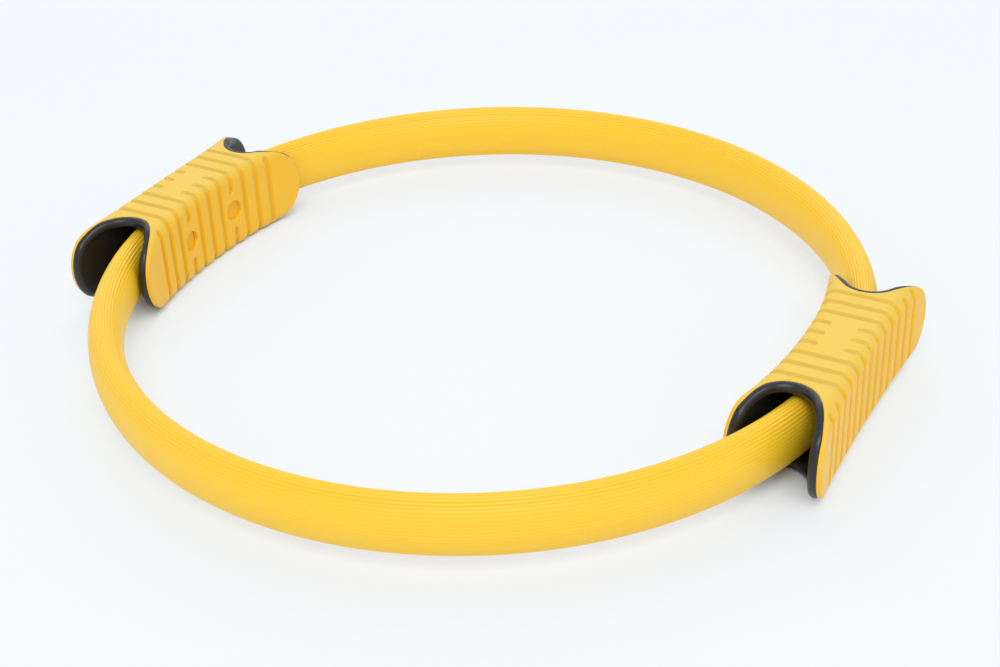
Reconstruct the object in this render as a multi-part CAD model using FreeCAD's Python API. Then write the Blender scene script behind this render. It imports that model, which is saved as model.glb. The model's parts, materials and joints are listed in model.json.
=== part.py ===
"""Pilates ring: a springy hoop of two sleeved bows, held together by two soft hourglass handles.

Millimetres, +Z up. The hoop lies level, its centre on the Z axis, with one handle on +X and one on -X.
The front bow is on -Y and the rear bow on +Y. Z = 0 is the floor that the handles stand on.
"""
import FreeCAD
import Part
import math
import os

V = FreeCAD.Vector
Z_AXIS = V(0, 0, 1)
ORIGIN = V(0, 0, 0)

# Hoop: a ribbed hose pulled over two flat spring strips
hoop_radius = 170.0
hose_thickness = 15.4
hose_height = 27.4
hose_wall = 1.9
hose_rib_count = 44
hose_rib_depth = 0.35
strip_thickness = 2.2
strip_ply_gap = 0.1
strip_edge_clearance = 0.2

# Handle: a rigid core with rolled rims, and a soft grooved skin moulded over it
skin_thickness = 2.4
core_wall = 2.4
rim_width = 3.2
rim_overhang = 0.6
scoop_rim_overhang = 2.6
hose_head_room = 1.5
hose_inner_room = 4.4
hose_outer_room = 2.3
waist_corner_radius = 4.6
ear_corner_radius = 8.0
least_corner_radius = 0.6
inner_flare = 10.2
outer_flare = 3.6

# Grooves round the skin
groove_pitch = 8.62
groove_width = 3.0
groove_depth = 1.5
ring_groove_rank = 4
short_groove_rank = 1
outer_ear_groove_rank = 6
inner_ear_groove_rank = 5
top_margin = 4.0
outer_ear_margin = 15.9
inner_ear_margin = 18.6
ear_groove_half_height = 16.0
panel_width = 11.6
plug_clear_height = 9.5

# Fixings: one screw holds each strip end, under a soft plug
screw_rank = 2
screw_diameter = 4.0
screw_head_diameter = 7.4
screw_head_height = 2.6
screw_slot_width = 1.2
screw_slot_depth = 1.4
screw_tip_cover = 2.0
screw_tip_clearance = 0.4
washer_diameter = 8.0
washer_thickness = 0.8
washer_seat_gap = 0.05
bore_clearance = 0.1
strip_bore_clearance = 0.2
counterbore_clearance = 0.2
shoulder_thickness = 4.0
plug_diameter = 9.6
plug_disc = 0.8
plug_sink = 2.4
plug_seat_gap = 0.3
plug_stem_length = 3.0
plug_fit_clearance = 0.15
boss_margin = 8.8
slot_clearance = 0.15
divider_thickness = 4.0
hose_end_gap = 0.3

# Sizes that follow from those above
stack_half = strip_thickness + strip_ply_gap / 2
bore_half_thickness = hose_thickness / 2 - hose_wall
bore_half_height = hose_height / 2 - hose_wall
strip_corner_height = bore_half_height * math.sqrt(1 - (stack_half / bore_half_thickness) ** 2)
strip_half_height = strip_corner_height - strip_edge_clearance
handle_half_height = hose_height / 2 + hose_head_room + rim_width + skin_thickness
wall_depth = skin_thickness + core_wall
rim_depth = skin_thickness + rim_width
block_half_length = screw_rank * groove_pitch + boss_margin
block_angle = math.asin(block_half_length / hoop_radius)
hose_end_angle = block_angle + hose_end_gap / (hoop_radius - hose_thickness / 2)
hose_end_drop = hoop_radius * (1 - math.cos(hose_end_angle))
strip_end_angle = (divider_thickness / 2 + hose_end_gap) / hoop_radius
inner_reach = hose_thickness / 2 + hose_inner_room + wall_depth
outer_reach = hose_thickness / 2 + hose_outer_room + wall_depth - hose_end_drop
top_half_length = ring_groove_rank * groove_pitch + top_margin
outer_ear_tip = outer_ear_groove_rank * groove_pitch + outer_ear_margin
inner_ear_tip = inner_ear_groove_rank * groove_pitch + inner_ear_margin
inner_face_radius = (inner_ear_tip ** 2 + inner_flare ** 2) / (2 * inner_flare)
outer_face_radius = (outer_ear_tip ** 2 + outer_flare ** 2) / (2 * outer_flare)
inner_face_centre = hoop_radius - inner_reach - inner_face_radius
outer_face_centre = hoop_radius + outer_reach + outer_face_radius
overrun = scoop_rim_overhang + rim_width
cutter_reach = inner_reach + outer_reach + inner_flare + outer_flare
screw_bore_radius = screw_diameter / 2 + bore_clearance
counterbore_radius = washer_diameter / 2 + counterbore_clearance
plug_hole_radius = plug_diameter / 2 + plug_fit_clearance


def inner_face(along, inset=0.0):
    """Distance from the hoop's centre plane to the handle's inner face, at a place along the handle."""
    return inner_face_centre + math.sqrt((inner_face_radius + inset) ** 2 - along ** 2)


def outer_face(along, inset=0.0):
    return outer_face_centre - math.sqrt((outer_face_radius + inset) ** 2 - along ** 2)


waist_middle = (inner_face(0) + outer_face(0)) / 2
ear_tip = (inner_ear_tip + outer_ear_tip) / 2
ear_middle = (inner_face(inner_ear_tip) + outer_face(outer_ear_tip)) / 2
mouth_slant = (outer_ear_tip - inner_ear_tip) / (outer_face(outer_ear_tip) - inner_face(inner_ear_tip))
ear_half_width = (outer_face(ear_tip, skin_thickness) - inner_face(ear_tip, skin_thickness)) / 2
screw_angle = math.atan2(screw_rank * groove_pitch, inner_face(screw_rank * groove_pitch))


def inner_face_along_screw(inset):
    """Distance from the hoop's axis to the inner face, measured along a screw's radial line."""
    across = inner_face_centre * math.sin(screw_angle)
    chord = math.sqrt((inner_face_radius + inset) ** 2 - across ** 2)
    return inner_face_centre * math.cos(screw_angle) + chord


def outer_face_along_screw(inset):
    across = outer_face_centre * math.sin(screw_angle)
    chord = math.sqrt((outer_face_radius + inset) ** 2 - across ** 2)
    return outer_face_centre * math.cos(screw_angle) - chord


strip_inside = hoop_radius - stack_half
strip_outside = hoop_radius + stack_half
shoulder_seat = strip_inside - slot_clearance - shoulder_thickness
screw_tip = outer_face_along_screw(skin_thickness) - screw_tip_cover
plug_seat = inner_face_along_screw(0) + plug_sink + plug_disc


def slab(along, width, low_x, high_x, half_height):
    """A box across the handle, of a given width along it."""
    return Part.makeBox(high_x - low_x, width, 2 * half_height, V(low_x, along - width / 2, -half_height))


def face_arc(face, end, inset, level):
    """The line of a side face at one level, from the waist to the end of the handle."""
    return Part.Arc(*[V(face(along, inset), along, level) for along in (0, end / 2, end)]).toShape()


def hourglass(inset):
    """The handle's outer form, brought in by an inset and longer than the handle at both ends."""
    end = outer_ear_tip + overrun
    low = handle_half_height - inset
    inner_arc = face_arc(inner_face, end, inset, -low)
    outer_arc = face_arc(outer_face, end, inset, -low)
    end_line = Part.makeLine(inner_arc.Vertexes[1].Point, outer_arc.Vertexes[1].Point)
    waist_line = Part.makeLine(outer_arc.Vertexes[0].Point, inner_arc.Vertexes[0].Point)
    outline = Part.Wire([inner_arc, end_line, outer_arc, waist_line])
    half = Part.Face(outline).extrude(V(0, 0, 2 * low))
    long_edges = [edge for edge in half.Edges if edge.Length > end]
    waist_radius = max(waist_corner_radius - inset, least_corner_radius)
    half = half.makeFillet(waist_radius, ear_corner_radius - inset, long_edges)
    return half.fuse(half.mirror(ORIGIN, V(0, 1, 0))).removeSplitter()


def scoop(end, grow, side):
    """The hollow cut into the top (side 1) or bottom (side -1) face at one end of the handle."""
    half_width = ear_half_width - grow
    length = ear_tip - top_half_length - grow
    centre = V(ear_middle, end * ear_tip, 0)
    sideways = centre + V(half_width, 0, 0)
    lengthways = centre + V(0, length, 0)
    if length > half_width:
        ellipse = Part.Ellipse(lengthways, sideways, centre)
    else:
        ellipse = Part.Ellipse(sideways, lengthways, centre)
    face = Part.Face(Part.Wire([ellipse.toShape()]))
    start = handle_half_height - rim_depth - scoop_rim_overhang
    face.translate(V(0, 0, side * start))
    return face.extrude(V(0, 0, side * handle_half_height))


def ear_centre(across, end):
    """The middle of an ear's round end, at a distance from the hoop's centre plane."""
    reach = ear_tip + mouth_slant * (across - ear_middle)
    return V(across, end * (reach - handle_half_height), 0)


def mouth_envelope(grow, scoop_grow):
    """What the handle's ends keep: round ears at the sides, with the top and bottom scooped out between."""
    radius = handle_half_height + grow
    low = hoop_radius - cutter_reach
    high = hoop_radius + cutter_reach
    corners = [ear_centre(low, -1), ear_centre(high, -1), ear_centre(high, 1), ear_centre(low, 1)]
    face = Part.Face(Part.makePolygon(corners + corners[:1]))
    face.translate(V(0, 0, -radius))
    body = face.extrude(V(0, 0, 2 * radius))
    for end in (-1, 1):
        axis = ear_centre(high, end) - ear_centre(low, end)
        body = body.fuse(Part.makeCylinder(radius, axis.Length, ear_centre(low, end), axis))
    for end in (-1, 1):
        for side in (-1, 1):
            body = body.cut(scoop(end, scoop_grow, side))
    return body


def groove_cutters():
    """Every groove of the skin: full rings, broken ones beside the panel and the plugs, and ear grooves."""
    left = hoop_radius - cutter_reach
    right = hoop_radius + cutter_reach
    tall = 2 * handle_half_height
    floor = hourglass(groove_depth)
    cutters = []
    for rank in range(-ring_groove_rank, ring_groove_rank + 1):
        along = rank * groove_pitch
        ring = slab(along, groove_width, left, right, tall)
        if abs(rank) <= short_groove_rank:
            half = panel_width / 2
            ring = ring.cut(slab(along, 2 * groove_width, waist_middle - half, waist_middle + half, tall))
        if abs(rank) == screw_rank:
            ring = ring.cut(slab(along, 2 * groove_width, left, waist_middle, plug_clear_height))
        cutters.append(ring.cut(floor))
    for end in (-1, 1):
        for rank in range(ring_groove_rank + 1, outer_ear_groove_rank + 1):
            along = end * rank * groove_pitch
            start = left if rank <= inner_ear_groove_rank else waist_middle
            cutters.append(slab(along, groove_width, start, right, ear_groove_half_height).cut(floor))
    return cutters


def radial_cylinder(radius, start, end, angle):
    """A round bar on the radial line at an angle, between two distances from the hoop's axis."""
    direction = V(math.cos(angle), math.sin(angle), 0)
    return Part.makeCylinder(radius, end - start, direction * start, direction)


def grip_skin():
    skin = hourglass(0).cut(hourglass(skin_thickness)).common(mouth_envelope(0, 0))
    skin = skin.cut(Part.makeCompound(groove_cutters()))
    for side in (-1, 1):
        start = inner_face_along_screw(0) - cutter_reach / 2
        skin = skin.cut(radial_cylinder(plug_hole_radius, start, waist_middle, side * screw_angle))
    return skin


def clamp_block(outer):
    """The solid middle of the core, with a slot on each side of a divider for the strip ends."""
    size = 2 * hoop_radius
    wedge = [ORIGIN, V(size * math.cos(block_angle), -size * math.sin(block_angle), 0),
             V(size * math.cos(block_angle), size * math.sin(block_angle), 0), ORIGIN]
    face = Part.Face(Part.makePolygon(wedge))
    face.translate(V(0, 0, -handle_half_height))
    block = outer.common(face.extrude(V(0, 0, 2 * handle_half_height)))
    slot_half = strip_half_height + slot_clearance
    slot = Part.makeCylinder(strip_outside + slot_clearance, 2 * slot_half, V(0, 0, -slot_half))
    slot = slot.cut(Part.makeCylinder(strip_inside - slot_clearance, 2 * slot_half, V(0, 0, -slot_half)))
    divider = slab(0, divider_thickness, 0, size, handle_half_height)
    return block.cut(slot.cut(divider))


def handle_core():
    outer = hourglass(skin_thickness)
    rimmed = mouth_envelope(rim_overhang, scoop_rim_overhang)
    behind_rim = mouth_envelope(rim_overhang - rim_width, scoop_rim_overhang - rim_width)
    shell = outer.cut(hourglass(wall_depth)).common(rimmed)
    rim = outer.cut(hourglass(rim_depth)).common(rimmed).cut(behind_rim)
    core = shell.fuse([rim, clamp_block(outer)]).removeSplitter()
    for side in (-1, 1):
        angle = side * screw_angle
        start = inner_face_along_screw(0)
        core = core.cut(radial_cylinder(plug_hole_radius, start, plug_seat + plug_seat_gap, angle))
        core = core.cut(radial_cylinder(counterbore_radius, start, shoulder_seat, angle))
        core = core.cut(radial_cylinder(screw_bore_radius, start, screw_tip + screw_tip_clearance, angle))
    return core


def plug(angle):
    """A soft disc sunk in the skin's round opening, with a stem in the screw's counterbore."""
    disc = radial_cylinder(plug_diameter / 2, plug_seat - plug_disc, plug_seat, angle)
    stem_radius = counterbore_radius - plug_fit_clearance
    stem = radial_cylinder(stem_radius, plug_seat, plug_seat + plug_stem_length, angle)
    return disc.fuse(stem).removeSplitter()


def washer(angle):
    end = shoulder_seat - washer_seat_gap
    start = end - washer_thickness
    ring = radial_cylinder(washer_diameter / 2, start, end, angle)
    return ring.cut(radial_cylinder(screw_bore_radius, start, end, angle))


def screw(angle):
    """A slotted pan head screw that runs from the washer, through the strips, into the core's outer wall."""
    seat = shoulder_seat - 2 * washer_seat_gap - washer_thickness
    head_top = seat - screw_head_height
    head = radial_cylinder(screw_head_diameter / 2, head_top, seat, angle)
    body = head.fuse(radial_cylinder(screw_diameter / 2, seat, screw_tip, angle)).removeSplitter()
    slot = slab(0, screw_slot_width, head_top, head_top + screw_slot_depth, screw_head_diameter / 2)
    slot.rotate(ORIGIN, Z_AXIS, math.degrees(angle))
    return body.cut(slot)


def swept_bow(section, end_angle, side):
    """Turns a section in the XZ plane about the hoop's axis, from one handle round to the other."""
    face = section.copy()
    face.rotate(ORIGIN, Z_AXIS, side * math.degrees(end_angle))
    turn = side * math.degrees(math.pi - 2 * end_angle)
    return face.revolve(ORIGIN, Z_AXIS, turn)


def strip(inside, side):
    low = V(inside, 0, -strip_half_height)
    high = V(inside + strip_thickness, 0, strip_half_height)
    outline = Part.makePolygon([low, V(high.x, 0, low.z), high, V(low.x, 0, high.z), low])
    bow = swept_bow(Part.Face(outline), strip_end_angle, side)
    hole_radius = screw_diameter / 2 + strip_bore_clearance
    start = inside - stack_half
    end = inside + 2 * stack_half
    for angle in (screw_angle, math.pi - screw_angle):
        bow = bow.cut(radial_cylinder(hole_radius, start, end, side * angle))
    return bow


def oval_point(half_thickness, half_height, turn):
    return V(hoop_radius + half_thickness * math.cos(turn), 0, half_height * math.sin(turn))


def even_turns(half_thickness, half_height, count):
    """Turn values that part an oval into steps of equal length, found by walking round it in fine steps."""
    fine = 20 * count
    points = [oval_point(half_thickness, half_height, 2 * math.pi * i / fine) for i in range(fine + 1)]
    walked = [0.0]
    for here, there in zip(points, points[1:]):
        walked.append(walked[-1] + here.distanceToPoint(there))
    turns = []
    i = 0
    for step in range(count):
        wanted = walked[-1] * step / count
        while walked[i + 1] < wanted:
            i += 1
        share = (wanted - walked[i]) / (walked[i + 1] - walked[i])
        turns.append(2 * math.pi * (i + share) / fine)
    return turns


def hose_section():
    """The oval hose cut across: a smooth bore, and lengthwise ribs that are arcs between valleys."""
    half_thickness = hose_thickness / 2
    half_height = hose_height / 2
    turns = even_turns(half_thickness, half_height, 2 * hose_rib_count)
    edges = []
    for rib in range(hose_rib_count):
        start, crest = turns[2 * rib], turns[2 * rib + 1]
        end = turns[(2 * rib + 2) % len(turns)]
        valley = half_thickness - hose_rib_depth, half_height - hose_rib_depth
        arc = Part.Arc(oval_point(*valley, start), oval_point(half_thickness, half_height, crest),
                       oval_point(*valley, end))
        edges.append(arc.toShape())
    bore = Part.Ellipse(V(hoop_radius, 0, bore_half_height), V(hoop_radius + bore_half_thickness, 0, 0),
                        V(hoop_radius, 0, 0))
    outside = Part.Face(Part.Wire(edges))
    return outside.cut(Part.Face(Part.Wire([bore.toShape()]))).Faces[0]


def save(name, shape):
    solid = shape.copy()
    solid.translate(V(0, 0, handle_half_height))
    solid.exportStep("parts/" + name + ".step")
    print(name, "solids", len(solid.Solids), "valid", solid.isValid(), "volume", round(solid.Volume, 1))


os.makedirs("parts", exist_ok=True)
section = hose_section()
for bow_name, side in (("front", -1), ("rear", 1)):
    save(bow_name + "_sleeve", swept_bow(section, hose_end_angle, side))
    save(bow_name + "_inner_strip", strip(strip_inside, side))
    save(bow_name + "_outer_strip", strip(strip_outside - strip_thickness, side))

skin = grip_skin()
core = handle_core()
for handle_name, heading in (("right", 0.0), ("left", math.pi)):
    for piece_name, piece in (("grip_skin", skin), ("handle_core", core)):
        turned = piece.copy()
        turned.rotate(ORIGIN, Z_AXIS, math.degrees(heading))
        save(handle_name + "_" + piece_name, turned)
    for end_name, end in (("front", -1), ("rear", 1)):
        angle = end * abs(heading - screw_angle)
        save(handle_name + "_" + end_name + "_screw", screw(angle))
        save(handle_name + "_" + end_name + "_washer", washer(angle))
        save(handle_name + "_" + end_name + "_plug", plug(angle))

print("overall width", round(2 * outer_face(outer_ear_tip), 1), "height", round(2 * handle_half_height, 1))
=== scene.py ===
import json
import math

import bpy
from mathutils import Matrix, Vector

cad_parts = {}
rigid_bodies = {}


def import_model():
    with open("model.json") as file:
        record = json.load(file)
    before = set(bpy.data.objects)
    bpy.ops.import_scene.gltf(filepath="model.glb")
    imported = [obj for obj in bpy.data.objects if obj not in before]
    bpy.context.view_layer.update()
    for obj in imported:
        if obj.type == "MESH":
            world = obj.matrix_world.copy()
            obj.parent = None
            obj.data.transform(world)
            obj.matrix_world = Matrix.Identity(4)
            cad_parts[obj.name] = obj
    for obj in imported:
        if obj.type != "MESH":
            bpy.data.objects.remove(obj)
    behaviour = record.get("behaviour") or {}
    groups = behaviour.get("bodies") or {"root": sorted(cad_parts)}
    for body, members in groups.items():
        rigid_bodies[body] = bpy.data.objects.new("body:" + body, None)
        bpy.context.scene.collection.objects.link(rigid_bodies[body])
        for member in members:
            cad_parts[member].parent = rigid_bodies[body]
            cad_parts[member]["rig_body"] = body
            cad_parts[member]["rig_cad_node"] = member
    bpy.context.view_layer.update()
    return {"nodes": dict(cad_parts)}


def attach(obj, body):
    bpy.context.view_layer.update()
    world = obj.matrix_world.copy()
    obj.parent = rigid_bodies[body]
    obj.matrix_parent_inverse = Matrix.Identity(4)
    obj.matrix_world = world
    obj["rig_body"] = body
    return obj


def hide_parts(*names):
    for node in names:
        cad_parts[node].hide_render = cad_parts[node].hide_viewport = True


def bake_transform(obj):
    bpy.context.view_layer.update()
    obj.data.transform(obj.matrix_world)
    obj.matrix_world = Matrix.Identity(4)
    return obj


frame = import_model()


# ---------------------------------------------------------------- spring strips
# Two flat strips of glass-fibre laminate lie back to back in each hose and give the ring its spring.
# They are pultruded, cut to length and drilled near both ends, where one screw in each handle holds them.
# A bow bends in two halves, each between its middle and a handle, so each strip is parted at the middle.

hoop_radius = 170.0  # mm, to the middle of the hose
middle_height = 0.0208  # m, of the hoop's middle plane over the floor
weld_distance = 1e-6  # m, within which two points become one


def take(piece):
    """Selects one piece alone and makes it the active one."""
    bpy.ops.object.select_all(action="DESELECT")
    piece.select_set(True)
    bpy.context.view_layer.objects.active = piece


def open_up(piece):
    """Goes into edit mode on one piece, with all of it selected."""
    take(piece)
    bpy.ops.object.mode_set(mode="EDIT")
    bpy.ops.mesh.select_all(action="SELECT")


def close_up(piece, sharp=40):
    """Leaves edit mode and smooths the faces that meet at less than an angle in degrees."""
    bpy.ops.object.mode_set(mode="OBJECT")
    take(piece)
    bpy.ops.object.shade_smooth_by_angle(angle=math.radians(sharp))


def own_copy(source, name):
    """A copy of an object with a mesh of its own, which belongs to no body yet."""
    piece = source.copy()
    piece.data = source.data.copy()
    piece.name = piece.data.name = name
    piece.parent = None
    piece.matrix_world = Matrix.Identity(4)
    piece.hide_render = piece.hide_viewport = False
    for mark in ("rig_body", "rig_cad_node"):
        if mark in piece:
            del piece[mark]
    bpy.context.scene.collection.objects.link(piece)
    piece.hide_set(False)
    return piece


def bend_half(piece, half):
    """Bakes a half bow's placing into its mesh, the same way for either half."""
    if half == "right":
        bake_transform(piece)
    else:
        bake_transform(piece)


def linear(code):
    """An sRGB hex colour as the linear values that a shader takes."""
    parts = [int(code[i:i + 2], 16) / 255 for i in (1, 3, 5)]
    return (*[p / 12.92 if p <= 0.04045 else ((p + 0.055) / 1.055) ** 2.4 for p in parts], 1.0)


def add(material, kind, inputs=None, **settings):
    """Adds a node with its settings, and links or sets its inputs."""
    node = material.node_tree.nodes.new("ShaderNode" + kind)
    for name, value in settings.items():
        setattr(node, name, value)
    for socket, value in (inputs or {}).items():
        if isinstance(value, bpy.types.NodeSocket):
            material.node_tree.links.new(value, node.inputs[socket])
        else:
            node.inputs[socket].default_value = value
    return node


def blank_material(name):
    """A material with no nodes yet."""
    material = bpy.data.materials.new(name)
    material.use_nodes = True
    material.node_tree.nodes.clear()
    return material


def unrolled(material):
    """The hoop laid out straight, in metres: distance from its axis, length along it, and height."""
    place = add(material, "SeparateXYZ", {0: add(material, "TexCoord").outputs["Object"]}).outputs
    level = add(material, "CombineXYZ", {0: place[0], 1: place[1]})
    radius = add(material, "VectorMath", {0: level.outputs[0]}, operation="LENGTH")
    turn = add(material, "Math", {0: place[1], 1: place[0]}, operation="ARCTAN2")
    length = add(material, "Math", {0: turn.outputs[0], 1: hoop_radius / 1000}, operation="MULTIPLY")
    return add(material, "CombineXYZ", {0: radius.outputs["Value"], 1: length.outputs[0], 2: place[2]}).outputs[0]


# Pultruded glass fibre in resin: a pale green-grey gloss, with straight milky fibre bundles about 1 mm wide.
laminate = blank_material("pultruded_glass_fibre")
bundles = add(laminate, "Mapping", {"Vector": unrolled(laminate), "Scale": (900, 9, 900)})
fibres = add(laminate, "TexNoise", {"Vector": bundles.outputs[0], "Scale": 1.0, "Detail": 3.0})
resin = add(laminate, "Mix", {0: fibres.outputs["Fac"], 6: linear("#B9B98F"), 7: linear("#DDDCC4")}, data_type="RGBA")
gloss = add(laminate, "MapRange", {0: fibres.outputs["Fac"], 3: 0.26, 4: 0.42})
weave = add(laminate, "Bump", {"Strength": 0.3, "Distance": 0.00005, "Height": fibres.outputs["Fac"]})
shader = add(laminate, "BsdfPrincipled", {
    "Base Color": resin.outputs[2], "Roughness": gloss.outputs[0], "IOR": 1.55, "Normal": weave.outputs[0]})
add(laminate, "OutputMaterial", {0: shader.outputs[0]})

for bow in ("front", "rear"):
    for ply in ("inner", "outer"):
        node = f"{bow}_{ply}_strip"
        for half in ("left", "right"):
            strip = own_copy(frame["nodes"][node], f"{node}_{half}_half")
            strip.data.materials.clear()
            strip.data.materials.append(laminate)
            open_up(strip)
            bpy.ops.mesh.remove_doubles(threshold=weld_distance)
            bpy.ops.mesh.select_all(action="SELECT")
            cut_away = 1 if half == "left" else -1
            bpy.ops.mesh.bisect(plane_co=(0, 0, 0), plane_no=(cut_away, 0, 0), use_fill=True, clear_outer=True)
            close_up(strip, sharp=30)
            bend_half(strip, half)
            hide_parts(node)


# ---------------------------------------------------------------- ribbed hoses
# A soft PVC hose, taller than it is thick, is pulled over each pair of strips and runs from handle to handle.
# It is extruded with fine lengthwise ribs, which stand out on its narrow edges and fade on its flat sides.

hose_half_thickness, hose_half_height = 7.7, 13.7  # mm, as are the sizes below
bore_half_thickness, bore_half_height = 5.8, 11.8
bore_steps = 66
rib_count, steps_per_rib = 44, 6
hose_steps = rib_count * steps_per_rib
rib_depth, inner_flat_depth, outer_flat_depth = 0.32, 0.05, 0.10
rib_fade, rib_full = 0.45, 0.95
rib_roundness = 2.2
hose_start = math.radians(8.917)
bow_steps = 108


def even_turns(half_thickness, half_height, count):
    """Turns that part an oval into steps of equal length, found by walking round it in fine steps."""
    fine = 40 * count
    walk = [0.0]
    for i in range(fine):
        turn = 2 * math.pi * (i + 0.5) / fine
        walk.append(walk[-1] + math.hypot(half_thickness * math.sin(turn), half_height * math.cos(turn)))
    turns, i = [], 0
    for step in range(count):
        while walk[i + 1] < walk[-1] * step / count:
            i += 1
        turns.append(2 * math.pi * i / fine)
    return turns


def eased(low, high, value):
    """Goes smoothly from 0 at a low value to 1 at a high one."""
    share = min(max((value - low) / (high - low), 0.0), 1.0)
    return share * share * (3 - 2 * share)


def hose_point(across, height):
    """A point of the hose's first section, which stands upright at the end inside the handle."""
    reach = (hoop_radius + across) / 1000
    return Vector((reach * math.cos(hose_start), reach * math.sin(hose_start), middle_height + height / 1000))


bpy.ops.object.select_all(action="DESELECT")
bpy.ops.mesh.primitive_circle_add(vertices=hose_steps, radius=0.01)
hose = bpy.context.object
hose.name = hose.data.name = "rear_right_hose"
valley = hose.data.attributes.new("valley", "FLOAT", "POINT")
for i, turn in enumerate(even_turns(hose_half_thickness, hose_half_height, hose_steps)):
    outward = Vector((math.cos(turn) / hose_half_thickness, math.sin(turn) / hose_half_height)).normalized()
    flat_depth = inner_flat_depth if outward.x < 0 else outer_flat_depth
    depth = flat_depth + (rib_depth - flat_depth) * eased(rib_fade, rib_full, abs(math.sin(turn)))
    hollow = abs(2 * (i % steps_per_rib) / steps_per_rib - 1) ** rib_roundness
    spot = Vector((hose_half_thickness * math.cos(turn), hose_half_height * math.sin(turn))) - outward * depth * hollow
    hose.data.vertices[i].co = hose_point(*spot)
    valley.data[i].value = hollow * depth / rib_depth

open_up(hose)
bpy.ops.mesh.primitive_circle_add(vertices=bore_steps, radius=0.005)
bpy.ops.object.mode_set(mode="OBJECT")
for i, turn in enumerate(even_turns(bore_half_thickness, bore_half_height, bore_steps)):
    spot = bore_half_thickness * math.cos(turn), bore_half_height * math.sin(turn)
    hose.data.vertices[hose_steps + i].co = hose_point(*spot)
open_up(hose)
bpy.ops.mesh.bridge_edge_loops()
bpy.ops.mesh.select_all(action="SELECT")
bpy.ops.mesh.spin(steps=bow_steps, angle=hose_start - math.pi / 2, center=(0, 0, middle_height), axis=(0, 0, 1))
bpy.ops.mesh.select_all(action="SELECT")
bpy.ops.mesh.remove_doubles(threshold=weld_distance)
bpy.ops.mesh.normals_make_consistent(inside=False)
close_up(hose, sharp=60)

# Soft PVC, extruded and left as it came from the die: a warm yellow with a satin gloss, faint drawn lines along
# it, painted shade where the ribs meet, and slight patches in the gloss. Drawn lines are about 1 mm wide.
soft_pvc = blank_material("extruded_soft_pvc")
lengthwise = unrolled(soft_pvc)
draw = add(soft_pvc, "Mapping", {"Vector": lengthwise, "Scale": (1000, 7, 1000)})
drawn = add(soft_pvc, "TexNoise", {"Vector": draw.outputs[0], "Scale": 1.0, "Detail": 2.0})
patches = add(soft_pvc, "TexNoise", {"Vector": lengthwise, "Scale": 45.0, "Detail": 3.0})
tone = add(soft_pvc, "Mix", {0: drawn.outputs["Fac"], 6: linear("#FFCB27"), 7: linear("#FFD130")}, data_type="RGBA")
# Painted shade: the valleys between the ribs are darkened toward a deeper orange.
between = add(soft_pvc, "Attribute", attribute_name="valley")
deep = add(soft_pvc, "Math", {0: between.outputs["Fac"], 1: 0.32}, operation="MULTIPLY")
yellow = add(soft_pvc, "Mix", {0: deep.outputs[0], 6: tone.outputs[2], 7: linear("#E3A416")}, data_type="RGBA")
satin = add(soft_pvc, "MapRange", {0: patches.outputs["Fac"], 3: 0.36, 4: 0.48})
lines = add(soft_pvc, "Bump", {"Strength": 0.25, "Distance": 0.00006, "Height": drawn.outputs["Fac"]})
shader = add(soft_pvc, "BsdfPrincipled", {
    "Base Color": yellow.outputs[2], "Roughness": satin.outputs[0], "IOR": 1.53, "Normal": lines.outputs[0]})
add(soft_pvc, "OutputMaterial", {0: shader.outputs[0]})
hose.data.materials.append(soft_pvc)

hoses = {("rear", "right"): hose}
for bow, half, mirror in (("front", "right", (1, -1, 1)), ("rear", "left", (-1, 1, 1)),
                          ("front", "left", (-1, -1, 1))):
    hoses[bow, half] = own_copy(hose, f"{bow}_{half}_hose")
    open_up(hoses[bow, half])
    bpy.ops.transform.resize(value=mirror, center_override=(0, 0, middle_height))
    bpy.ops.mesh.normals_make_consistent(inside=False)
    close_up(hoses[bow, half], sharp=60)
for (bow, half), piece in hoses.items():
    bend_half(piece, half)
    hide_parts(bow + "_sleeve")


# ---------------------------------------------------------------- handle cores
# The stiff dark core of each handle is one nylon moulding: a solid block that clamps the strip ends, and at both
# ends a flared mouth round the hose. The edge of each mouth is rolled to a smooth bead, so the hose can bend there.

handle_half_height = 20.8  # mm, as are the sizes below
inner_face_radius, inner_face_centre = 191.71, -38.61
outer_face_radius, outer_face_centre = 636.87, 819.61
waist_corner, ear_corner, least_corner = 4.6, 8.0, 0.6
ear_end = 73.4
mouth_middle = 164.62
ear_centre, ear_slant = 43.86, 0.1363
scoop_centre, scoop_reach, scoop_half_width, scoop_floor = 64.66, 26.18, 19.6, 12.8
side_steps, corner_steps, top_steps = 20, 14, 40
wall_outside, wall_inside = 2.45, 5.0
wall_start, outside_short, inside_short = 22.0, 2.0, 9.0
bead_radius = 2.4
side_bead_forward, side_bead_depth = -0.85, 3.5
top_bead_forward, top_bead_depth = 1.65, 2.65
bead_turn_start, bead_turn_end = 0.6, 1.05
skin_edge_radius, skin_gap = 0.95, 0.05
block_end = 0.029  # m, along the handle
shell_weld_distance = 0.00002  # m


def faces_at(along, inset):
    """How far the handle's inner and outer faces are from the hoop's middle, at a place along the handle, in mm."""
    inner = inner_face_centre + math.sqrt((inner_face_radius + inset) ** 2 - along ** 2)
    outer = outer_face_centre - math.sqrt((outer_face_radius + inset) ** 2 - along ** 2)
    return inner, outer


def form_point(column, along, inset=0.0):
    """A point of the upper half of the handle's hourglass form, in mm from the handle's middle height."""
    side, rise, corner_x, corner_z = column
    inner, outer = faces_at(along, inset)
    corner = waist_corner + (ear_corner - waist_corner) * eased(0.0, ear_end, abs(along))
    corner = max(corner - inset, least_corner)
    x = (inner + outer) / 2 + side * ((outer - inner) / 2 - corner) + corner * corner_x
    return Vector((x, along, rise * (handle_half_height - inset - corner) + corner * corner_z))


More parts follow.
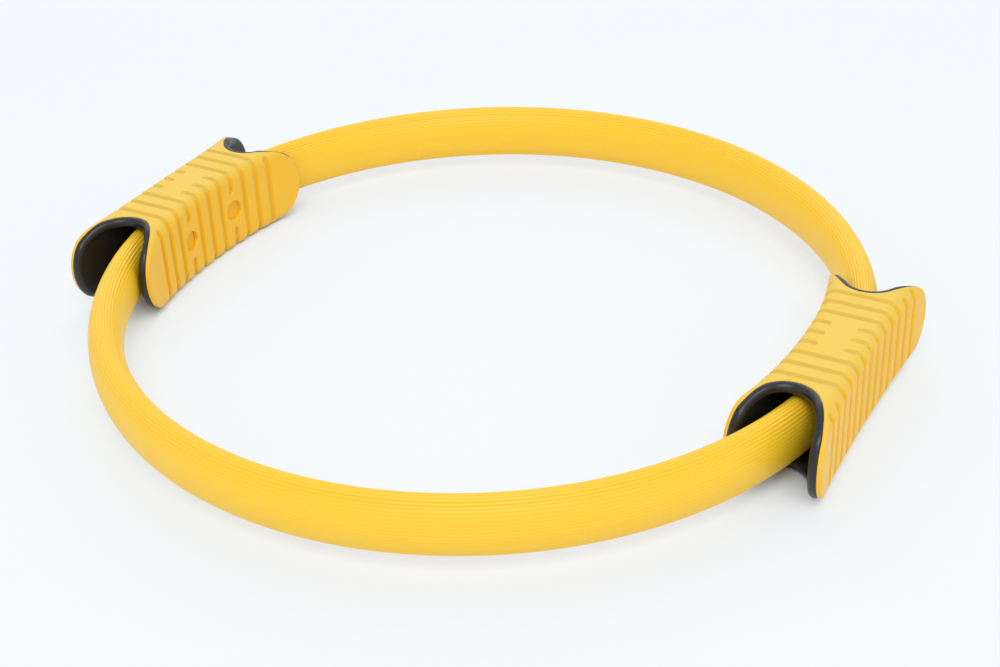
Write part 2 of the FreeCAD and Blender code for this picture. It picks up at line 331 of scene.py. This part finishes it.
# The columns go over the handle's upper half, from the inner face's middle height to the outer face's. Each gives
# its place between the faces, its rise from the middle height, and its way out from the corner's centre.
corner_turns = [math.pi * i / (2 * corner_steps) for i in range(corner_steps)]
columns = [(-1, i / side_steps, -1, 0) for i in range(side_steps)]
columns += [(-1, 1, -math.cos(turn), math.sin(turn)) for turn in corner_turns]
columns += [(2 * i / top_steps - 1, 1, 0, 1) for i in range(top_steps)]
columns += [(1, 1, math.sin(turn), math.cos(turn)) for turn in corner_turns]
columns += [(1, 1 - i / side_steps, 1, 0) for i in range(side_steps + 1)]


def mouth_line(column):
    """How far a mouth's edge is from the waist: round ears at the sides, with the top scooped out between.

    The edge depends on where the handle's faces are at that place, so it is found in small steps.
    """
    along = 50.0
    for _ in range(40):
        spot = form_point(column, along)
        aside = spot.x - mouth_middle
        edge = ear_centre + ear_slant * aside + math.sqrt(max(handle_half_height ** 2 - spot.z ** 2, 0))
        if spot.z > scoop_floor and abs(aside) < scoop_half_width:
            edge = min(edge, scoop_centre - scoop_reach * math.sqrt(1 - (aside / scoop_half_width) ** 2))
        along += 0.5 * (edge - along)
    return along - skin_edge_radius


def smoothed(values, times):
    """Evens out a list of values round the mouth by taking in each one's neighbours."""
    for _ in range(times):
        ends = [values[1]] + values + [values[-2]]
        values = [(ends[i] + 2 * ends[i + 1] + ends[i + 2]) / 4 for i in range(len(values))]
    return values


edge_line = smoothed([mouth_line(column) for column in columns], times=24)
edge_spots = [form_point(column, along) for column, along in zip(columns, edge_line)]
mirrored = [Vector((spot.x, spot.y, -spot.z)) for spot in edge_spots]
neighbours = [mirrored[1]] + edge_spots + [mirrored[-2]]
nudge = 0.2
edge_frames = []
for i, (column, along) in enumerate(zip(columns, edge_line)):
    line = (neighbours[i + 2] - neighbours[i]).normalized()
    lengthwise = form_point(column, along + nudge) - form_point(column, along - nudge)
    inward = line.cross(lengthwise).normalized()
    if inward.dot(form_point(column, along, nudge) - edge_spots[i]) < 0:
        inward = -inward
    onward = inward.cross(line)
    edge_frames.append((edge_spots[i], onward if onward.y > 0 else -onward, inward))


def edge_row(onward, inward):
    """A row of points beside the mouth's edge: so far out past it, and so far in from the handle's surface."""
    return [spot + ahead * onward + inside * inward for spot, ahead, inside in edge_frames]


# Round the corners the bead goes over from its form at the sides, at 0, to its form along the top, at 1.
bead_tops = smoothed([eased(bead_turn_start, bead_turn_end, corner_z) for _, _, _, corner_z in columns], times=16)


def bead_row(share):
    """A row of points round the bead, from where it leaves the skin's end to where it meets the wall inside.

    Along the top it stands out past the skin and lies level with it. At the corners and sides it lies inside the skin.
    """
    row = []
    for top, (spot, ahead, inside) in zip(bead_tops, edge_frames):
        forward = side_bead_forward + (top_bead_forward - side_bead_forward) * top
        depth = side_bead_depth + (top_bead_depth - side_bead_depth) * top
        start = math.asin((skin_edge_radius + skin_gap - forward) / bead_radius)
        turn = start + (math.pi - start) * share
        onward, inward = forward + bead_radius * math.sin(turn), depth - bead_radius * math.cos(turn)
        row.append(spot + ahead * onward + inside * inward)
    return row


def wall_row(share, start, short, inset):
    """A row of points across a wall, at a share of the way from a start to a line short of the mouth's edge."""
    return [form_point(column, start + (edge - short - start) * share, inset)
            for column, edge in zip(columns, edge_line)]


def handle_piece(name, rows):
    """Shapes a grid into a quarter of a handle's shell, mirrors it along and over, and stands it in place."""
    bpy.ops.object.select_all(action="DESELECT")
    bpy.ops.mesh.primitive_grid_add(x_subdivisions=len(columns) - 1, y_subdivisions=len(rows) - 1, size=0.1)
    piece = bpy.context.object
    piece.name = piece.data.name = name
    for i, spot in enumerate(spot for row in rows for spot in row):
        piece.data.vertices[i].co = spot / 1000
    halves = piece.modifiers.new("halves", "MIRROR")
    halves.use_axis = (False, True, True)
    halves.merge_threshold = weld_distance
    bpy.ops.object.modifier_apply(modifier=halves.name)
    open_up(piece)
    bpy.ops.mesh.remove_doubles(threshold=shell_weld_distance)
    bpy.ops.mesh.normals_make_consistent(inside=False)
    bpy.ops.transform.translate(value=(0, 0, handle_half_height / 1000))
    close_up(piece)
    return piece


# The rows go along the wall's outside, round the bead and back along the wall's inside to where they began.
wall_shares = (0, 0.25, 0.5, 0.75, 1)
bead_steps = 24
rows = [wall_row(share, wall_start, outside_short, wall_outside) for share in wall_shares]
rows.append(edge_row(skin_edge_radius + skin_gap, wall_outside))
rows += [bead_row(step / bead_steps) for step in range(bead_steps + 1)]
rows += [wall_row(share, wall_start, inside_short, wall_inside) for share in reversed(wall_shares)]
rows.append(rows[0])
mouths = handle_piece("right_core_mouths", rows)

core = own_copy(frame["nodes"]["right_handle_core"], "right_core")
core.data.materials.clear()
open_up(core)
bpy.ops.mesh.remove_doubles(threshold=weld_distance)
for end in (-1, 1):
    bpy.ops.mesh.select_all(action="SELECT")
    bpy.ops.mesh.bisect(plane_co=(0, end * block_end, 0), plane_no=(0, end, 0), use_fill=True, clear_outer=True)
close_up(core, sharp=30)
mouths.select_set(True)
bpy.ops.object.join()

# Charcoal nylon, moulded in a polished tool: nearly black and faintly blue, with a soft gloss, light handling
# scuffs a few millimetres long and a faint flow texture about a millimetre wide.
nylon = blank_material("moulded_charcoal_nylon")
place = add(nylon, "TexCoord").outputs["Object"]
flow = add(nylon, "TexNoise", {"Vector": place, "Scale": 900.0, "Detail": 1.0})
rubs = add(nylon, "Mapping", {"Vector": place, "Scale": (500, 90, 260), "Rotation": (0.3, 0.5, 0.2)})
scuffs = add(nylon, "TexNoise", {"Vector": rubs.outputs[0], "Scale": 1.0, "Detail": 4.0})
scuffed = add(nylon, "MapRange", {0: scuffs.outputs["Fac"], 1: 0.52, 2: 0.72, 3: 0.0, 4: 0.2})
charcoal = add(nylon, "Mix", {0: scuffed.outputs[0], 6: linear("#1A1C1E"), 7: linear("#2D3034")}, data_type="RGBA")
gloss = add(nylon, "MapRange", {0: scuffs.outputs["Fac"], 1: 0.3, 2: 0.7, 3: 0.31, 4: 0.40})
skin_flow = add(nylon, "Bump", {"Strength": 0.04, "Distance": 0.00003, "Height": flow.outputs["Fac"]})
shader = add(nylon, "BsdfPrincipled", {
    "Base Color": charcoal.outputs[2], "Roughness": gloss.outputs[0], "IOR": 1.53, "Normal": skin_flow.outputs[0]})
add(nylon, "OutputMaterial", {0: shader.outputs[0]})
core.data.materials.append(nylon)


def turned_copy(piece, name):
    """The left handle's piece: the right one's, turned half round the hoop's axis."""
    copy = own_copy(piece, name)
    open_up(copy)
    bpy.ops.transform.resize(value=(-1, -1, 1), center_override=(0, 0, 0))
    bpy.ops.object.mode_set(mode="OBJECT")
    return copy


for hand, piece in (("right", core), ("left", turned_copy(core, "left_core"))):
    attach(piece, hand + "_handle")
    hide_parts(hand + "_handle_core")


# ---------------------------------------------------------------- grip skins
# A soft rubbery skin is moulded over each core and gives the palm its hold. Shallow grooves with soft edges run
# round it, broken by a smooth panel on the top and on the bottom, and two round openings let the screws in.

groove_pitch, groove_depth = 8.62, 1.9  # mm, as are the sizes below
groove_floor, groove_reach, side_flare = 0.9, 1.6, 0.4
side_top, flat_edge = 19.0, 20.7
groove_ranks = range(7)
panel_middle, panel_clear, panel_floor = 167.92, 7.3, 15.0
plug_clear_height, ear_groove_top = 11.0, 17.2
skin_depth = 2.4
# Heights in mm over which the flats' painted light comes in.
flat_light_start, flat_light_full = 15.5, 19.5
plug_turn = math.radians(6.457)
opening_radius = 0.00495  # m
round_steps = 72


def groove_share(spot):
    """How deep a groove is at a place on the skin: 1 on its floor, 0 on the ribs.

    Grooves are counted from the waist and are wider on the sides than on the flats. The first two stop at the panel,
    the next at the plug's opening, and the last two stay on the ears.
    """
    share = 0.0
    reach = groove_reach + side_flare * (1 - eased(side_top, flat_edge, spot.z))
    outer_side = spot.x > panel_middle
    for rank in groove_ranks:
        past_end = 0.0
        if rank <= 1 and spot.z > panel_floor:
            past_end = max(panel_clear - abs(spot.x - panel_middle), 0.0)
        elif rank == 2 and not outer_side:
            past_end = max(plug_clear_height - spot.z, 0.0)
        elif rank == 5 or (rank == 6 and outer_side):
            past_end = max(spot.z - ear_groove_top, 0.0)
        elif rank == 6:
            past_end = groove_pitch
        distance = math.hypot(spot.y - rank * groove_pitch, past_end)
        share = max(share, 1 - eased(groove_floor, reach, distance))
    return share


# Rings of points lie close together on the grooves' walls, with one on the middle of each rib and a few on the ears.
# They stay square to the handle, and gather into lines beside the mouth's edge where they meet it.
wall_steps = [2.6, 2.0, 1.8, 1.6, 1.48, 1.36, 1.25, 1.14, 1.02, 0.9, 0.45]
groove_steps = [-step for step in wall_steps] + [0.0] + wall_steps[::-1] + [groove_pitch / 2]
ear_places = [57.5, 59.0, 60.4, 61.6, 62.8, 64.0, 65.2, 67.0]
ring_places = [rank * groove_pitch + step for rank in groove_ranks for step in groove_steps]
ring_places = [along for along in ring_places if along >= 0] + ear_places
gather = 1.6
rows = []
for ring in ring_places:
    row = []
    for column, edge in zip(columns, edge_line):
        along = ring
        if ring >= edge - gather:
            along = edge - gather * math.exp((edge - gather - ring) / gather)
        share = groove_share(form_point(column, along))
        row.append(form_point(column, along, groove_depth * share))
    rows.append(row)
for degrees in (0, 18, 36, 54, 72, 90):
    turn = math.radians(degrees)
    rows.append(edge_row(skin_edge_radius * math.sin(turn), skin_edge_radius * (1 - math.cos(turn))))
rows.append(edge_row(skin_edge_radius, skin_depth))
rows += [wall_row(share, start=0.0, short=0.4, inset=skin_depth) for share in reversed(wall_shares)]
skin = handle_piece("right_skin", rows)


def turned_form(profile):
    """A round form, drawn out from a disc: each step of its profile is a distance from the hoop's axis and a radius."""
    level, radius = profile[0]
    bpy.ops.object.select_all(action="DESELECT")
    bpy.ops.mesh.primitive_circle_add(vertices=round_steps, radius=radius, fill_type="NGON", location=(0, 0, level))
    form = bpy.context.object
    bpy.ops.object.transform_apply(location=True, rotation=True, scale=True)
    open_up(form)
    for next_level, next_radius in profile[1:]:
        bpy.ops.mesh.extrude_region_move(TRANSFORM_OT_translate={"value": (0, 0, next_level - level)})
        bpy.ops.transform.resize(value=(next_radius / radius, next_radius / radius, 1))
        level, radius = next_level, next_radius
    bpy.ops.mesh.select_all(action="SELECT")
    bpy.ops.mesh.normals_make_consistent(inside=False)
    bpy.ops.object.mode_set(mode="OBJECT")
    return form


# The openings for the plugs are round, with a rounded edge. Their cutter starts below the skin and widens to its mouth.
opening_profile = (
    (0.15800, opening_radius), (0.15390, opening_radius), (0.15370, 0.00498), (0.15353, 0.00506),
    (0.15340, 0.00518), (0.15330, 0.00535), (0.15324, 0.00556), (0.15220, 0.00800))
for side in (-1, 1):
    cutter = turned_form(opening_profile)
    cutter.rotation_euler = (0, math.pi / 2, side * plug_turn)
    cutter.location = (0, 0, handle_half_height / 1000)
    take(skin)
    opening = skin.modifiers.new("opening", "BOOLEAN")
    opening.object, opening.operation, opening.solver = cutter, "DIFFERENCE", "EXACT"
    bpy.ops.object.modifier_apply(modifier=opening.name)
    bpy.data.objects.remove(cutter)

# Two attributes for the skin's material, which place its painted shade and painted light: how deep a place is in a
# groove, and how far up it is toward a flat.
skin.data.attributes.new("groove", "FLOAT", "POINT")
skin.data.attributes.new("painted_light_flats", "FLOAT", "POINT")
for i, vertex in enumerate(skin.data.vertices):
    spot = vertex.co * 1000 - Vector((0, 0, handle_half_height))
    skin.data.attributes["groove"].data[i].value = groove_share(Vector((spot.x, abs(spot.y), abs(spot.z))))
    skin.data.attributes["painted_light_flats"].data[i].value = eased(flat_light_start, flat_light_full, abs(spot.z))
close_up(skin)

# Thermoplastic rubber over the core: matt ochre yellow with a fine spark-eroded grain of about 0.3 mm, drawn here
# at 0.6 mm so that it shows, and a faint bloom at a slant. The flats are painted paler than the sides, as painted
# light from above. The grooves hold painted shade: a deeper orange on the sides, and an olive tone on the flats.
tpr = blank_material("moulded_soft_tpr")
place = add(tpr, "TexCoord").outputs["Object"]
grain = add(tpr, "TexNoise", {"Vector": place, "Scale": 1650.0, "Detail": 2.0})
cloud = add(tpr, "TexNoise", {"Vector": place, "Scale": 70.0, "Detail": 3.0})
tone = add(tpr, "Mix", {0: cloud.outputs["Fac"], 6: linear("#F6BE12"), 7: linear("#FAC416")}, data_type="RGBA")
# Painted light: the flats are made paler than the sides, as if lit from above.
flats = add(tpr, "Attribute", attribute_name="painted_light_flats")
lemon = add(tpr, "Mix", {0: flats.outputs["Fac"], 6: tone.outputs[2], 7: linear("#EFC63E")}, data_type="RGBA")
# Painted shade in the grooves: a deeper orange on the sides and an olive tone on the flats.
hollow = add(tpr, "Attribute", attribute_name="groove")
deep = add(tpr, "MapRange", {0: hollow.outputs["Fac"], 1: 0.1, 2: 1.0, 3: 0.0, 4: 0.6})
level_part = add(tpr, "MapRange", {0: flats.outputs["Fac"], 1: 0.80, 2: 0.93})
painted_groove_shade = add(tpr, "Mix", {0: level_part.outputs[0], 6: linear("#E6BB12"), 7: linear("#DDD48C")}, data_type="RGBA")
ochre = add(tpr, "Mix", {0: deep.outputs[0], 6: lemon.outputs[2], 7: painted_groove_shade.outputs[2]}, data_type="RGBA")
matt = add(tpr, "MapRange", {0: cloud.outputs["Fac"], 1: 0.3, 2: 0.7, 3: 0.52, 4: 0.64})
pores = add(tpr, "Bump", {"Strength": 0.18, "Distance": 0.00006, "Height": grain.outputs["Fac"]})
shader = add(tpr, "BsdfPrincipled", {
    "Base Color": ochre.outputs[2], "Roughness": matt.outputs[0], "IOR": 1.50, "Normal": pores.outputs[0],
    "Specular IOR Level": 0.75, "Sheen Weight": 0.30, "Sheen Roughness": 0.4, "Sheen Tint": linear("#FFF4DE")})
add(tpr, "OutputMaterial", {0: shader.outputs[0]})
skin.data.materials.append(tpr)

for hand, piece in (("right", skin), ("left", turned_copy(skin, "left_skin"))):
    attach(piece, hand + "_handle")
    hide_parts(hand + "_grip_skin")


# ---------------------------------------------------------------- screws and washers
# One slotted pan head screw and a flat washer hold each pair of strip ends in a core, under a plug.
# They are standard zinc plated steel parts, so the CAD solids stay as they are.

# Zinc plate on steel: a bright grey with a faint blue cast and soft cloudy patches of 2 to 3 mm.
zinc = blank_material("zinc_plated_steel")
cloud = add(zinc, "TexNoise", {"Vector": add(zinc, "TexCoord").outputs["Object"], "Scale": 400.0, "Detail": 3.0})
plate = add(zinc, "Mix", {0: cloud.outputs["Fac"], 6: linear("#A9ADB3"), 7: linear("#C6C9CC")}, data_type="RGBA")
sheen = add(zinc, "MapRange", {0: cloud.outputs["Fac"], 3: 0.28, 4: 0.46})
shader = add(zinc, "BsdfPrincipled", {"Base Color": plate.outputs[2], "Roughness": sheen.outputs[0], "Metallic": 1.0})
add(zinc, "OutputMaterial", {0: shader.outputs[0]})
for node, solid in frame["nodes"].items():
    if node.endswith(("_screw", "_washer")):
        solid.material_slots[0].material = zinc


# ---------------------------------------------------------------- plugs
# A soft plug closes each screw's opening. It is moulded of the skin's own rubber: a thin disc with a rounded edge,
# sunk below the skin, and a stem that is pressed into the screw's counterbore.

plug_face, plug_seat = 0.15552, 0.15650  # m, from the hoop's axis
disc_radius, stem_radius = 0.00493, 0.00405  # m

plug = turned_form((
    (plug_face + 0.00035, 0.0030), (plug_face + 0.00028, 0.0038), (plug_face + 0.00012, 0.0044), (plug_face, 0.0047),
    (plug_face + 0.00005, 0.00488), (plug_face + 0.00012, disc_radius), (plug_seat, disc_radius),
    (plug_seat, stem_radius), (plug_seat + 0.0027, stem_radius), (plug_seat + 0.0030, 0.00375)))
close_up(plug, sharp=35)
plug.data.materials.append(tpr)

lift = Matrix.Translation((0, 0, handle_half_height / 1000))
for hand, bow, turn in (("right", "front", -plug_turn), ("right", "rear", plug_turn),
                        ("left", "front", math.pi + plug_turn), ("left", "rear", math.pi - plug_turn)):
    piece = own_copy(plug, f"{hand}_{bow}_plug_disc")
    piece.data.transform(lift @ Matrix.Rotation(turn, 4, "Z") @ Matrix.Rotation(math.pi / 2, 4, "Y"))
    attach(piece, f"right_{bow}_fixing" if hand == "right" else "left_handle")
    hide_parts(f"{hand}_{bow}_plug")
bpy.data.objects.remove(plug)


# ---------------------------------------------------------------- floor, light and camera
# The ring lies on a plain, nearly white floor under a bright even sky, with a large soft lamp in front and one behind.
# The floor is matt paper. Away from the ring it is whitened for the eye and for reflections, but it gives the ring no
# more light for that, and close to the ring it keeps its shadows.

bpy.ops.object.select_all(action="DESELECT")
bpy.ops.mesh.primitive_plane_add(size=8.0)
ground = bpy.context.object
ground.name = "floor"
paper = blank_material("matt_white_paper")
fibres = add(paper, "TexNoise", {"Vector": add(paper, "TexCoord").outputs["Object"], "Scale": 6.0, "Detail": 2.0})
white = add(paper, "Mix", {0: fibres.outputs["Fac"], 6: linear("#ECF1F5"), 7: linear("#EEF3F7")}, data_type="RGBA")
shader = add(paper, "BsdfPrincipled", {"Base Color": white.outputs[2], "Roughness": 0.7, "Specular IOR Level": 0.2})
clear = add(paper, "AmbientOcclusion", {"Distance": 0.03}, samples=16)
away = add(paper, "MapRange", {0: clear.outputs["AO"], 1: 0.12, 2: 0.56, 3: 0.0, 4: 0.6})
ray = add(paper, "LightPath").outputs
reflected = add(paper, "Math", {0: ray["Is Glossy Ray"], 1: ray["Is Transmission Ray"]}, operation="MAXIMUM")
looked_at = add(paper, "Math", {0: ray["Is Camera Ray"], 1: reflected.outputs[0]}, operation="MAXIMUM")
seen = add(paper, "Math", {0: looked_at.outputs[0], 1: away.outputs[0]}, operation="MULTIPLY")
lit = add(paper, "Emission", {"Color": linear("#F5FAFE"), "Strength": 1.0})
even = add(paper, "MixShader", {0: seen.outputs[0], 1: shader.outputs[0], 2: lit.outputs[0]})
add(paper, "OutputMaterial", {0: even.outputs[0]})
ground.data.materials.append(paper)

sky = bpy.data.worlds.new("even_sky")
sky.use_nodes = True
sky.node_tree.nodes["Background"].inputs["Color"].default_value = (0.97, 0.985, 1.0, 1.0)
sky.node_tree.nodes["Background"].inputs["Strength"].default_value = 0.70
bpy.context.scene.world = sky

for name, place, width, depth, power in (("front_softbox", (1.02, -1.73, 2.87), 2.0, 2.0, 50.0),
                                         ("rear_softbox", (-1.16, 1.98, 1.93), 3.0, 1.6, 18.0)):
    bpy.ops.object.light_add(type="AREA", location=place)
    lamp = bpy.context.object
    lamp.name = name
    lamp.data.shape = "RECTANGLE"
    lamp.data.size, lamp.data.size_y = width, depth
    lamp.data.energy = power
    lamp.rotation_euler = (lamp.location - Vector((0, 0, 0.02))).to_track_quat("Z", "Y").to_euler()

bpy.ops.object.camera_add()
camera = bpy.context.object
camera.data.lens = 61.70
camera.data.sensor_width = 36.0
camera.data.clip_start = 0.01
camera.matrix_world = Matrix((
    (0.87679, -0.22543, 0.42476, 0.34449),
    (0.47920, 0.48320, -0.73272, -0.58004),
    (-0.04007, 0.84599, 0.53169, 0.42128),
    (0, 0, 0, 1)))
bpy.context.scene.camera = camera
bpy.context.scene.view_settings.view_transform = "Standard"
